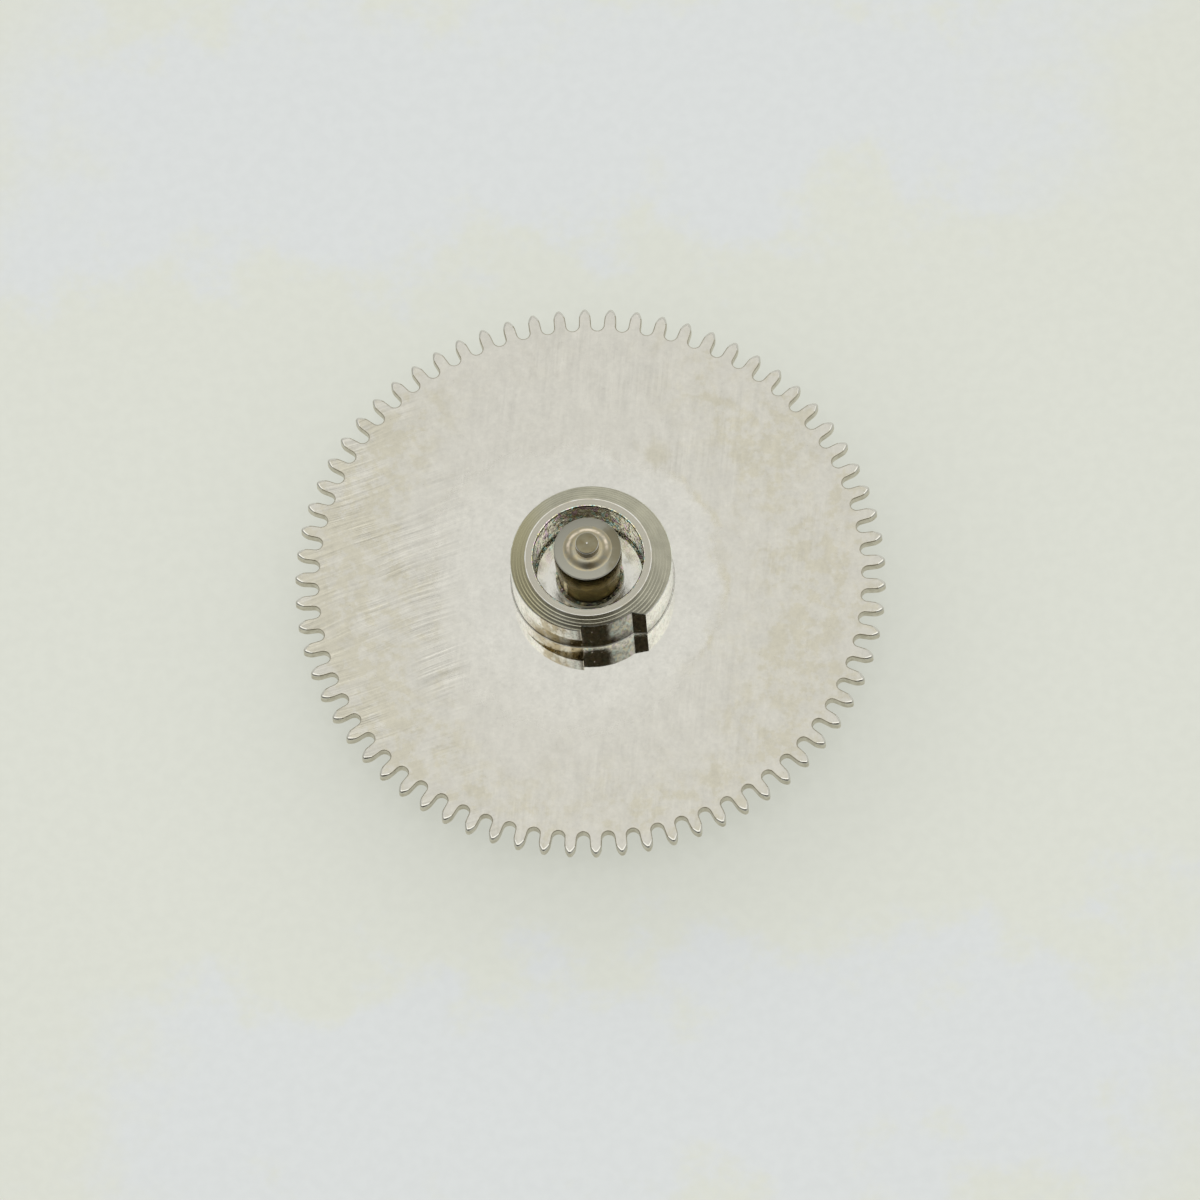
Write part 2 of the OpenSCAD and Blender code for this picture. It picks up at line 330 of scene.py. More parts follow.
def close_shell(mesh):
    """Merges the points that coincide, turns every face outwards and marks the sharp edges."""
    shell = bmesh.new()
    shell.from_mesh(mesh)
    bmesh.ops.remove_doubles(shell, verts=shell.verts, dist=MERGE_DISTANCE)
    bmesh.ops.dissolve_degenerate(shell, edges=shell.edges, dist=MERGE_DISTANCE)
    bmesh.ops.recalc_face_normals(shell, faces=shell.faces)
    open_edges = [edge for edge in shell.edges if not edge.is_manifold]
    if open_edges:
        raise RuntimeError(f"{mesh.name} has {len(open_edges)} open or doubled edges")
    shell.to_mesh(mesh)
    shell.free()
    mesh.polygons.foreach_set("use_smooth", np.ones(len(mesh.polygons), bool))
    mesh.set_sharp_from_angle(angle=SHARP_ANGLE)
    mesh.update()


class Shading:
    """Adds nodes to a shader tree and joins them up. Every value is a number or a socket."""

    def __init__(self, tree):
        self.tree = tree

    def node(self, kind, inputs=(), **settings):
        """Adds a node with its settings, and joins or fills its inputs, given as (name, value) pairs."""
        made = self.tree.nodes.new("ShaderNode" + kind)
        for key, value in settings.items():
            setattr(made, key, value)
        for key, value in inputs:
            if isinstance(value, bpy.types.NodeSocket):
                self.tree.links.new(value, made.inputs[key])
            else:
                made.inputs[key].default_value = value
        return made

    def math(self, operation, first, *others, clamp=False):
        """Runs one operation through some numbers, and keeps the result within 0 to 1 if clamp is true."""
        for other in others:
            first = self.node("Math", [(0, first), (1, other)], operation=operation).outputs[0]
        first.node.use_clamp = clamp
        return first

    def times(self, *values, clamp=False):
        """The product of some numbers."""
        return self.math("MULTIPLY", *values, clamp=clamp)

    def plus(self, *values, clamp=False):
        """The sum of some numbers."""
        return self.math("ADD", *values, clamp=clamp)

    def away(self, value, middle):
        """How far a number lies from a middle, to either side."""
        difference = self.math("SUBTRACT", value, middle)
        return self.node("Math", [(0, difference)], operation="ABSOLUTE").outputs[0]

    def swing(self, value, reach):
        """Noise from 0 to 1 turned into a shift round 0, with this reach from end to end."""
        return self.times(self.math("SUBTRACT", value, 0.5), reach)

    def vector(self, operation, first, second=(0, 0, 0)):
        """One operation on two vectors."""
        return self.node("VectorMath", [(0, first), (1, second)], operation=operation).outputs

    def ease(self, value, low, high, start=0.0, end=1.0):
        """Runs smoothly from start to end as value goes from low to high."""
        made = self.node(
            "MapRange",
            [("Value", value), ("From Min", low), ("From Max", high), ("To Min", start), ("To Max", end)],
            interpolation_type="SMOOTHSTEP",
        )
        return made.outputs["Result"]

    def lerp(self, share, first, second):
        """Mixes two numbers."""
        return self.node("Mix", [(0, share), (2, first), (3, second)], data_type="FLOAT").outputs[0]

    def blend(self, share, first, second):
        """Mixes two colours."""
        first, second = (c if isinstance(c, bpy.types.NodeSocket) else (*c, 1) for c in (first, second))
        return self.node("Mix", [(0, share), (6, first), (7, second)], data_type="RGBA").outputs[2]


class Finish(Shading):
    """A steel or a stage material in the making: one Principled shader and the nodes that feed it."""

    def __init__(self, name, colour, roughness=0.5, metallic=1.0):
        self.material = bpy.data.materials.new(name)
        self.material.use_nodes = True
        super().__init__(self.material.node_tree)
        self.shader = self.tree.nodes["Principled BSDF"]
        self.shader.inputs["Base Color"].default_value = (*colour, 1)
        self.shader.inputs["Roughness"].default_value = roughness
        self.shader.inputs["Metallic"].default_value = metallic
        self.places = None

    def millimetres(self):
        """Object coordinates in millimetres."""
        if self.places is None:
            inputs = [(0, self.node("TexCoord").outputs["Object"]), ("Scale", 1 / MM)]
            self.places = self.node("VectorMath", inputs, operation="SCALE").outputs[0]
        return self.places

    def axes(self):
        """X, Y and Z in millimetres, as three numbers."""
        return self.node("SeparateXYZ", [(0, self.millimetres())]).outputs

    def place(self, move=(0, 0, 0), turn=0.0, stretch=(1, 1, 1), start=None):
        """Millimetre coordinates, or those in start, moved, then turned about the axis, then stretched."""
        moved = self.vector("SUBTRACT", start or self.millimetres(), move)[0]
        spun = self.node("Mapping", [("Vector", moved), ("Rotation", (0, 0, -turn))], vector_type="POINT")
        return self.vector("MULTIPLY", spun.outputs[0], stretch)[0]

    def radius(self, centre=(0, 0)):
        """Distance from an upright line, in millimetres."""
        return self.vector("LENGTH", self.place(move=(*centre, 0), stretch=(1, 1, 0)))["Value"]

    def noise(self, scale, detail=2.0, rough=0.5, where=None):
        """Noise from 0 to 1, mostly near 0.5, with scale features to the millimetre."""
        where = where or self.millimetres()
        inputs = [("Vector", where), ("Scale", scale), ("Detail", detail), ("Roughness", rough)]
        return self.node("TexNoise", inputs).outputs["Fac"]

    def turning_lines(self, scale, detail=3.0, rough=0.6, radius=0.0, height=0.0):
        """Noise in rings round the axis, as a lathe leaves them, over a radius, a height or both."""
        where = self.node("CombineXYZ", [(0, radius), (1, height)]).outputs[0]
        return self.noise(scale, detail, rough, where)

    def shaded(self, colour, value):
        """A colour made lighter or darker."""
        return self.node("HueSaturation", [("Color", colour), ("Value", value)]).outputs[0]

    def bump(self, height, depth, normal=None):
        """Raises the surface by depth, in millimetres, times height."""
        inputs = [("Height", height), ("Strength", 1.0), ("Distance", depth * MM)]
        if normal is not None:
            inputs.append(("Normal", normal))
        return self.node("Bump", inputs).outputs["Normal"]

    def feed(self, **sockets):
        """Joins sockets to the shader's inputs, named in lower case with underscores."""
        for name, socket in sockets.items():
            self.tree.links.new(socket, self.shader.inputs[name.replace("_", " ").title()])
        return self.material


def ring_boundary(f, s, wandering):
    """0 on the smoother ring round the core and 1 outside it. Their boundary is crisp at the right."""
    x, y, _ = f.axes()
    edge = s.smooth_radius / MM
    crisp = f.ease(f.plus(x, f.times(y, 0.35)), -0.6, 1.2)
    starts = f.lerp(crisp, edge - 0.75, edge - 0.2)
    ends = f.lerp(crisp, edge + 0.8, edge + 0.15)
    return f.ease(wandering, starts, ends)


def brushing(f, left_side, outside):
    """Brushing lines round 0: bent and almost level at the left, fainter and almost upright elsewhere."""
    level, upright = math.radians(15), math.radians(80)
    bent = f.vector("ADD", f.millimetres(), f.times(f.noise(0.5, 1.0), 0.45))[0]
    level_lines = f.noise(1.0, 5.0, 0.7, f.place(start=bent, turn=level, stretch=(0.3, 17, 1)))
    upright_lines = f.noise(1.0, 5.0, 0.65, f.place(turn=upright, stretch=(0.8, 15, 1)))
    lines = f.lerp(left_side, upright_lines, level_lines)
    patches = f.ease(f.noise(0.8, where=f.place(move=(5, 2, 0))), 0.4, 0.65, 0.15, 1.0)
    return f.swing(lines, f.times(patches, f.lerp(left_side, 0.55, 1.0), outside))


def old_stains(f, s, wandering, outside, blotch):
    """Share of old oil: flecked zones at the sides and in front, a spot behind, and an arc by the ring."""
    x, y, _ = f.axes()
    right_zone = f.ease(x, 1.0, 3.4)
    left_zone = f.ease(x, -1.6, -4.2, 0.0, 1.9)
    front_zone = f.ease(y, -2.8, -4.6, 0.0, 0.6)
    zone = f.times(f.plus(right_zone, left_zone, front_zone, 0.12), f.ease(f.radius(), 2.0, 4.8, 0.35, 1.0))
    mottle = f.ease(f.noise(1.1, 5.0, 0.6, f.place(move=(3, 1, 0))), 0.38, 0.66, 0.2, 1.0)
    flecks = f.ease(f.noise(3.6, 6.0, 0.68, f.place(move=(7, 3, 0))), 0.44, 0.62, 0.35, 1.9)
    flecked = f.times(mottle, flecks, zone, outside, clamp=True)
    spot = f.ease(f.plus(f.radius(centre=(1.35, 2.35)), f.times(blotch, 0.8)), 0.75, 0.45, 0.0, 0.3)
    arc = f.ease(f.away(wandering, s.smooth_radius / MM + 0.05), 0.16, 0.02)
    arc = f.times(arc, f.ease(x, 1.2, 2.0), f.ease(blotch, 0.4, 0.6, 0.05, 0.35))
    return f.plus(f.times(flecked, 0.36), spot, arc, clamp=True)


def brushed_face_steel(s):
    """The wheel's flat face: faint brushing, a smoother ring round the core, and old brownish stains."""
    f = Finish("wheel_brushed_face", s.colour)
    wandering = f.plus(f.radius(), f.swing(f.noise(0.9, 4.0, 0.6), 1.2))
    outside = ring_boundary(f, s, wandering)
    left_side = f.ease(f.axes()[0], -1.2, -3.2)
    streak = brushing(f, left_side, outside)
    grain = f.noise(13.0, 5.0, 0.65)
    blotch = f.noise(2.6, 5.0, 0.6, f.place(stretch=(1.6, 1.0, 1)))
    tint = f.blend(old_stains(f, s, wandering, outside, blotch), s.colour, s.stain_colour)
    tint = f.blend(outside, s.smooth_colour, tint)
    drawn = f.times(streak, f.lerp(left_side, 0.6, 1.35))
    shade = f.plus(drawn, f.swing(grain, 0.32), f.swing(blotch, 0.24), 1.0)
    rough = f.lerp(outside, s.smooth_roughness, s.brushed_roughness)
    rough = f.plus(rough, f.swing(grain, f.lerp(outside, 0.03, 0.12)))
    normal = f.bump(f.times(grain, f.lerp(outside, 0.15, 1.0)), 0.0008, f.bump(streak, 0.005))
    return f.feed(base_color=f.shaded(tint, shade), roughness=rough, normal=normal)


def worn_edge_steel(s):
    """The polished, worn edges of the teeth."""
    f = Finish("wheel_worn_edge", s.worn_colour)
    grain = f.noise(22.0, 3.0)
    return f.feed(roughness=f.ease(grain, 0.3, 0.7, 0.05, 0.16), normal=f.bump(grain, 0.0014))


def dull_edge_steel(s):
    """The edges of the gaps, which nothing has polished."""
    f = Finish("wheel_dull_edge", s.dull_colour, 0.3)
    patches = f.ease(f.noise(9.0, 3.0), 0.35, 0.7)
    return f.feed(base_color=f.blend(patches, s.dull_colour, s.dull_patch_colour))


def cut_flank_steel(s):
    """The milled walls of the gaps, with marks across the wheel's thickness."""
    f = Finish("wheel_cut_flank", s.flank_colour, 0.32)
    marks = f.noise(60.0, 3.0, where=f.place(stretch=(1, 1, 0.08)))
    patches = f.ease(f.noise(9.0, 3.0), 0.35, 0.7)
    tint = f.blend(patches, s.flank_colour, s.flank_patch_colour)
    return f.feed(base_color=tint, normal=f.bump(marks, 0.0012))


def turned_slope_steel(s):
    """The core's sloping face, with fine concentric turning lines between the deeper grooves."""
    f = Finish("core_turned_slope", s.colour)
    lines = f.turning_lines(45.0, rough=0.7, radius=f.radius())
    patches = f.ease(f.noise(3.0, 4.0), 0.3, 0.75)
    tint = f.blend(patches, s.colour, [0.8 * c for c in s.colour])
    # Painted shade: the sloping face turns darker and yellower towards the left.
    tint = f.blend(f.ease(f.axes()[0], -0.5, -1.2), tint, s.left_shade_colour)
    rough = f.ease(lines, 0.3, 0.7, 0.16, 0.3)
    return f.feed(base_color=tint, roughness=rough, normal=f.bump(lines, 0.005))


def rim_steel(s):
    """The narrow flat rim, satin with the faintest turning lines."""
    f = Finish("core_rim", s.rim_colour)
    lines = f.turning_lines(60.0, 2.0, 0.5, radius=f.radius())
    return f.feed(roughness=f.ease(lines, 0.3, 0.7, 0.2, 0.34), normal=f.bump(lines, 0.002))


def web_steel(s):
    """The turned web at the bottom of the bore, with faint rings and a few darker patches."""
    f = Finish("core_web", s.web_colour, 0.2)
    lines = f.turning_lines(30.0, rough=0.5, radius=f.radius())
    patches = f.ease(f.noise(5.0, 4.0, 0.6), 0.45, 0.75)
    tint = f.blend(patches, s.web_colour, s.web_patch_colour)
    return f.feed(base_color=tint, normal=f.bump(lines, 0.0015))


def speckled_steel(s, name, colour, roughness, dents, depth, film, specks, grime=(0, 0)):
    """A polished wall of the core, with glinting dents, dark specks, spots of oil film, and brown grime.

    Every pattern is drawn out along the axis, as the tool that turned the wall left it. dents is the share
    of the wall that they cover, depth their depth in millimetres, film the strength of its tint, specks the
    brightness of a speck, and grime its least and its greatest share at the left front.
    """
    f = Finish(name, colour, roughness)
    teal, straw, violet = (0.42, 0.85, 0.86), (1.0, 0.86, 0.36), (0.85, 0.55, 0.86)
    upright = (1, 1, 0.45)
    x, y, _ = f.axes()
    hue = f.noise(11.0, 1.0, where=f.place(move=(2, 0, 1), stretch=upright))
    rainbow = f.blend(f.ease(hue, 0.43, 0.49), teal, straw)
    rainbow = f.blend(f.ease(hue, 0.54, 0.6), rainbow, violet)
    oiled = f.noise(9.0, 3.0, where=f.place(move=(0, 2, 3), stretch=upright))
    tint = f.blend(f.ease(oiled, 0.44, 0.56, 0.0, film), colour, rainbow)
    grimy = f.noise(5.0, 5.0, 0.6, f.place(move=(1, 4, 0), stretch=(1, 1, 0.3)))
    left_front = f.times(f.ease(x, 0.45, -0.15), f.ease(y, -0.55, -1.0))
    tint = f.blend(f.times(f.ease(grimy, 0.4, 0.6, *grime), left_front), tint, s.grime_colour)
    speckled = f.noise(15.0, 5.0, 0.65, f.place(move=(0, 4, 0), stretch=upright))
    tint = f.shaded(tint, f.ease(speckled, 0.48, 0.58, 1.08, specks))
    dent_edge = 0.7 - 0.2 * dents
    dented = f.ease(f.noise(19.0, 3.0, 0.6, f.place(stretch=upright)), dent_edge, dent_edge + 0.12)
    return f.feed(base_color=tint, normal=f.bump(dented, depth, f.bump(f.noise(8.0, 4.0, 0.6), depth)))


def turned_steel(name, colour, roughness, depth=0.0):
    """A small turned surface, with rings round the axis of some depth and a little tarnish."""
    tarnish = (0.8, 0.74, 0.62)
    f = Finish(name, colour, roughness)
    rings = f.turning_lines(42.0, radius=f.radius(), height=f.axes()[2])
    patches = f.ease(f.noise(6.0, 3.0), 0.35, 0.75)
    tint = f.blend(patches, colour, [c * t for c, t in zip(colour, tarnish)])
    return f.feed(base_color=tint, normal=f.bump(rings, depth))


def oily_shaded_neck_steel(s):
    """The dark, oily side of the staff, with brown patches, rings and a bright streak at the left.

    Its dark colour is partly oil and partly painted shade, and its tint keeps it dark at a glancing angle.
    The streak is a painted reflection, and it stops where the journal begins.
    """
    f = Finish("staff_side", s.neck_oil_and_shade_colour, 0.1)
    f.shader.inputs["Specular Tint"].default_value = (*s.neck_tint, 1)
    reflection_x = -0.42
    neck_top = journal_bottom(s) / MM
    x, y, z = f.axes()
    patches = f.ease(f.noise(4.0, 4.0, where=f.place(stretch=(1, 1, 0.6))), 0.5, 0.68)
    ragged = f.plus(x, f.times(f.noise(9.0, 3.0), 0.06))
    # streak is a painted reflection: a bright band at the left front of the neck, under the journal.
    streak = f.times(
        f.ease(f.away(ragged, reflection_x), 0.045, 0.015),
        f.ease(y, 0.0, -0.2),
        f.ease(z, neck_top + 0.045, neck_top - 0.055),
    )
    tint = f.blend(patches, s.neck_oil_and_shade_colour, s.neck_patch_colour)
    tint = f.blend(streak, tint, s.painted_reflection_colour)
    return f.feed(base_color=tint, normal=f.bump(f.turning_lines(30.0, height=z), 0.004))


def journal_face_steel(s):
    """The satin face of the journal, bluish grey, darker and yellower towards its right side."""
    f = Finish("staff_face", s.face_colour, 0.3)
    ragged = f.plus(f.axes()[0], f.swing(f.noise(6.0, 3.0), 0.5))
    tint = f.blend(f.ease(ragged, 0.22, 0.5), s.face_colour, s.face_right_colour)
    return f.feed(base_color=tint, normal=f.bump(f.turning_lines(42.0, radius=f.radius()), 0.001))


def boss_steel(s):
    """The brown boss round the upper pivot, with a painted highlight: a ring on its back, bright in spots.
    """
    f = Finish("staff_boss", s.boss_colour, 0.3)
    highlight_radius = 0.345
    radius = f.radius()
    back = f.ease(f.axes()[1], -0.16, 0.08)
    highlight_spots = f.ease(f.noise(9.0, 4.0), 0.36, 0.6, 0.3, 1.0)
    # ring is a painted highlight, on the back of the boss alone.
    ring = f.times(f.ease(f.away(radius, highlight_radius), 0.045, 0.008), back, highlight_spots)
    patches = f.ease(f.noise(8.0, 3.0, where=f.place(move=(3, 0, 0))), 0.4, 0.65)
    tint = f.blend(patches, s.boss_colour, s.boss_patch_colour)
    tint = f.blend(ring, tint, s.boss_highlight_colour)
    return f.feed(base_color=tint, normal=f.bump(f.turning_lines(42.0, radius=radius), 0.002))


def tooth_outline(s, root_steps=9, flank_steps=3, arch_steps=10, tip_steps=8):
    """Points round the toothed rim and their outward normals, in the wheel's plane.

    Half a tooth is a quarter circle at the root of the gap, a short straight flank, an arch of a larger
    circle and a small circle over the tip. The other half mirrors it, and every tooth is a turned copy.
    """
    pitch = TURN / s.tooth_count
    root = s.tip_radius - s.tooth_depth
    head = s.tip_radius - s.head_height
    half_width = s.tooth_width / 2
    rise = s.head_height - s.tip_round
    arch = (half_width**2 + rise**2 - s.tip_round**2) / (2 * (half_width - s.tip_round))
    arch_end = math.atan2(rise, arch - half_width)
    mirror = np.array([1, -1])

    root_normals = direction(np.linspace(0, TURN / 4, root_steps)) * mirror
    root_points = turned(np.array([root + s.root_round, 0]) - s.root_round * root_normals, -pitch / 2)
    root_normals = turned(root_normals, -pitch / 2)
    arch_normals = -turned(direction(np.linspace(0, arch_end, arch_steps)), TURN / 4)
    arch_points = np.array([head, arch - half_width]) + arch * arch_normals
    tip_normals = -turned(direction(np.linspace(arch_end, TURN / 4, tip_steps)[1:]), TURN / 4)
    tip_points = np.array([head + rise, 0]) + s.tip_round * tip_normals
    share = np.linspace(0, 1, flank_steps + 2)[1:-1, None]
    flank_points = root_points[-1] * (1 - share) + arch_points[0] * share
    flank_normals = root_normals[-1] * (1 - share) + arch_normals[0] * share

    points = np.concatenate([root_points, flank_points, arch_points, tip_points])
    normals = np.concatenate([root_normals, flank_normals, arch_normals, tip_normals])
    points = np.concatenate([points, points[-2:0:-1] * mirror])
    normals = np.concatenate([normals, normals[-2:0:-1] * mirror])
    normals /= np.linalg.norm(normals, axis=1, keepdims=True)
    angles = s.first_tooth + pitch * np.arange(s.tooth_count)
    return (np.concatenate([turned(vectors, a) for a in angles]) for vectors in (points, normals))


def wheel_grid(s):
    """Grid of the wheel: rows are spokes through the outline's points, and columns are rings.

    The rings run from the hole out over the top face, round the worn edge, down the wall of the teeth and
    back under the wheel to the hole. The worn edge is a quarter ellipse, wide at the tips of the teeth and
    narrow at their roots. A narrow shelf of faces on each side of an edge keeps its shading off the flats.
    """
    top, bottom = WHEEL_HIGH.z, WHEEL_LOW.z
    points, normals = tooth_outline(s)
    reach = np.linalg.norm(points, axis=1)
    worn = smooth_step(reach, s.tip_radius - s.worn_depth, s.tip_radius)
    width = s.edge_bevel + (s.tip_bevel - s.edge_bevel) * worn
    drop = 0.8 * width
    out = normals * width[:, None]
    inset = points - out
    spoke = direction(np.arctan2(inset[:, 1], inset[:, 0]))
    shelf = 0.3 * s.edge_bevel
    low_width = 0.6 * s.edge_bevel
    inside_teeth = s.tip_radius - 1.3 * s.tooth_depth
    edge = np.where(worn > s.worn_share, WheelFinish.WORN_EDGE, WheelFinish.DULL_EDGE)

    top_radii = np.linspace(s.hole_radius, inside_teeth, 6)
    rings = [(spoke * radius, top, WheelFinish.FACE) for radius in top_radii]
    rings.append((inset - normals * shelf, top, WheelFinish.FACE))
    for down, inwards in QUARTER_ROUND[:-1]:
        rings.append((points - out * inwards, top - drop * down, edge))
    for height in (top - drop, top - drop - shelf, bottom + low_width + shelf, bottom + low_width):
        rings.append((points, height, WheelFinish.FLANK))
    for inwards in (low_width, low_width + shelf):
        rings.append((points - normals * inwards, bottom, WheelFinish.FACE))
    for radius in np.linspace(inside_teeth, s.hole_radius + s.rivet_sink, 4):
        rings.append((spoke * radius, bottom, WheelFinish.FACE))
    rings.append((spoke * s.hole_radius, bottom + s.rivet_sink, WheelFinish.FACE))
    return stack_rings(rings)


def ray_to_circle(angle, centre, radius):
    """Distance from the axis, along these angles, to a circle whose centre is off the axis."""
    along = direction(angle) @ centre
    return along + np.sqrt(radius**2 - centre @ centre + along**2)


def core_walls(s, steps=360):
    """Angles round the core, with the radius of its outer wall above and below the hook's undercut.

    The wall is an eccentric circle. At the lower left it draws in along a second circle to the hook. From
    the hook to the end wall it is the recess's circle, and the end wall is a straight line back out. Below
    the hook the undercut's circle cuts in where it lies inside the wall. The hook's corner is rounded over
    a few hairs, which are tiny angles. The last two results mark the undercut's rows and the recess's.
    """
    hair = math.radians(0.04)
    rounded = 12 * hair
    centre = s.wall_offset * direction(s.wall_direction)
    hook_radius = s.wall_radius + s.wall_offset * math.cos(math.pi - s.wall_direction)
    hook_centre = np.array([0, hook_radius - s.recess_radius - s.hook_rise])
    wall_start = s.recess_radius * direction(s.recess_end)
    along = direction(s.end_wall)
    offset = wall_start - centre
    half = offset @ along
    run = math.sqrt(half**2 - offset @ offset + s.wall_radius**2) - half
    wall_end = wall_start + run * along
    end_angle = math.atan2(wall_end[1], wall_end[0])

    angle = np.concatenate(
        [
            np.linspace(-math.pi, math.pi, steps + 1)[:-1],
            np.linspace(s.recess_end, end_angle, 14),
            s.hook_angle + hair * np.array([-12, -6, -1, 1, 6]),
            [s.recess_end - hair, s.hook_angle - s.under_sweep, end_angle + hair, end_angle + 4 * hair],
        ]
    )
    angle = np.unique(np.round(angle, 7))
    upper = ray_to_circle(angle, centre, s.wall_radius)
    hook = ray_to_circle(angle, hook_centre, hook_radius)
    upper = np.where(angle < -math.pi / 2, np.minimum(upper, hook), upper)
    corner = smooth_step(angle, s.hook_angle - rounded, s.hook_angle)
    upper = np.where(angle < s.hook_angle, upper - 0.7 * s.edge_bevel * corner, upper)
    in_recess = (angle > s.hook_angle) & (angle <= s.recess_end)
    upper = np.where(in_recess, s.recess_radius, upper)
    in_wall = (angle > s.recess_end) & (angle < end_angle)
    upper[in_wall] = np.minimum(upper[in_wall], ray_to_line(angle[in_wall], wall_start, along))
    under_centre = s.under_offset * direction(s.under_direction)
    under = ray_to_circle(angle, under_centre, s.recess_radius + s.under_growth)
    undercut = (angle > s.hook_angle - s.under_sweep) & (angle < s.hook_angle)
    lower = np.where(undercut, np.minimum(upper, under), upper)
    return angle, upper, lower, undercut, in_recess | in_wall


def ray_to_line(angle, start, along):
    """Distance from the axis, along these angles, to a straight line through start."""
    ray = direction(angle)
    return (start[0] * along[1] - start[1] * along[0]) / (ray[:, 0] * along[1] - ray[:, 1] * along[0])


def slope_fall(s, out):
    """How far the sloping face has fallen at a distance out from the rim.

    It is a straight slope with two trains of cosine grooves, coarse and fine, that beat with each other.
    """
    turns = TURN * out / s.groove_pitch
    depth = math.tan(s.groove_tilt) * s.groove_pitch / TURN
    fine_start = 1.0
    fine_depth = s.fine_tilt * s.fine_pitch
    waves = 1 - np.cos(turns) + fine_depth * (1 - np.cos(turns / s.fine_pitch + fine_start))
    return out * math.tan(s.rim_slope) + depth * waves


def bore_stations(s, stem_radius):
    """Stations from the stem's hole over the web, up the bore, round the lip and over the rim's edge."""
    web_top, core_top = WHEEL_HIGH.z + s.web, CORE_HIGH.z
    bevel = s.edge_bevel
    lip = [
        (s.bore_radius + s.lip * out, core_top - s.lip * down, CoreFinish.BORE)
        for out, down in QUARTER_ROUND[:-1]
    ]
    return [
        (stem_radius, web_top, CoreFinish.WEB),
        (s.bore_radius - s.bore_bevel - bevel, web_top, CoreFinish.WEB),
        (s.bore_radius - s.bore_bevel, web_top, CoreFinish.BORE),
        (s.bore_radius, web_top + s.bore_bevel, CoreFinish.BORE),
        (s.bore_radius, web_top + s.bore_bevel + bevel, CoreFinish.BORE),
        (s.bore_radius, core_top - s.lip - bevel, CoreFinish.BORE),
        *lip,
        (s.bore_radius + s.lip, core_top, CoreFinish.RIM),
        (s.bore_radius + s.lip + bevel, core_top, CoreFinish.RIM),
        (s.rim_radius - 2 * bevel, core_top, CoreFinish.EDGE),
        (s.rim_radius - 1.2 * bevel, core_top, CoreFinish.EDGE),
        (s.rim_radius - 0.3 * bevel, core_top - 0.6 * bevel, CoreFinish.EDGE),
        (s.rim_radius, core_top - 1.6 * bevel, CoreFinish.SLOPE),
    ]


def wall_stations(s, upper, lower, undercut, recess, slope_steps=90):
    """Stations down the sloping face, over its bevel, down the outer wall and under the hook to the fillet.

    Where there is no undercut, the rings of its ledge lie together part way down the plain wall.
    """
    wheel_top = WHEEL_HIGH.z
    slope_top = CORE_HIGH.z - s.rim_step
    bevel = s.edge_bevel
    out = upper - bevel - s.rim_radius
    slope = [
        (s.rim_radius + out * share, slope_top - slope_fall(s, out * share), CoreFinish.SLOPE)
        for share in np.linspace(0, 1, slope_steps)[:-1]
    ]
    edge_height = slope_top - slope_fall(s, out)
    wall_top = edge_height - 1.2 * bevel
    part_way = 0.45 * wall_top + 0.55 * wheel_top
    ledge = np.where(undercut, wheel_top + s.under_height, part_way)
    ledge_bevel = np.where(lower < upper - 0.5 * bevel, 0.5 * bevel, 0)
    wall = np.where(recess, CoreFinish.RECESS, CoreFinish.WALL)
    low_wall = np.where(undercut, CoreFinish.UNDERCUT, wall)
    foot_finishes = 3 * [CoreFinish.WALL] + 2 * [CoreFinish.RIM]
    foot = [
        (lower + s.fillet * out, wheel_top + s.fillet * up, finish)
        for (out, up), finish in zip(QUARTER_ROUND, foot_finishes)
    ]
    return [
        *slope,
        (upper - bevel, edge_height, wall),
        (upper, wall_top, wall),
        (upper, wall_top - bevel, wall),
        (upper, ledge + ledge_bevel, wall),
        (upper - ledge_bevel, ledge, low_wall),
        (lower, ledge, low_wall),
        *foot,
    ]


def rivet_stations(wheel, stem_radius):
    """Stations of the spigot down the wheel's hole, into its countersink and over its low round head."""
    hole, sink = wheel.hole_radius, wheel.rivet_sink
    wheel_bottom, head_bottom = WHEEL_LOW.z, CORE_LOW.z
    head = wheel_bottom - head_bottom
    profile = [
        (hole, WHEEL_HIGH.z),
        (hole, wheel_bottom + sink),
        (hole + sink, wheel_bottom),
        (hole + 0.75 * sink, wheel_bottom - 0.36 * head),
        (hole, head_bottom + 0.24 * head),
        (hole - head, head_bottom),
        (stem_radius, head_bottom),
    ]
    return [(radius, height, CoreFinish.RIM) for radius, height in profile]


def core_grid(s, wheel, stem_radius):
    """Grid of the core: rows are half planes round the axis, and columns are its stations.

    They run from the stem's hole over the web, up the bore, over the rim, down the sloping face and the
    outer wall, in under the wheel as the rivet, and back up the stem's hole.
    """
    angle, *walls = core_walls(s)
    stations = bore_stations(s, stem_radius) + wall_stations(s, *walls) + rivet_stations(wheel, stem_radius)
    return revolve(direction(angle), stations)


def journal_bottom(s):
    """Height at which the neck ends and the journal begins."""
    return STAFF_HIGH.z - s.pivot_length - s.boss_height - s.journal_length


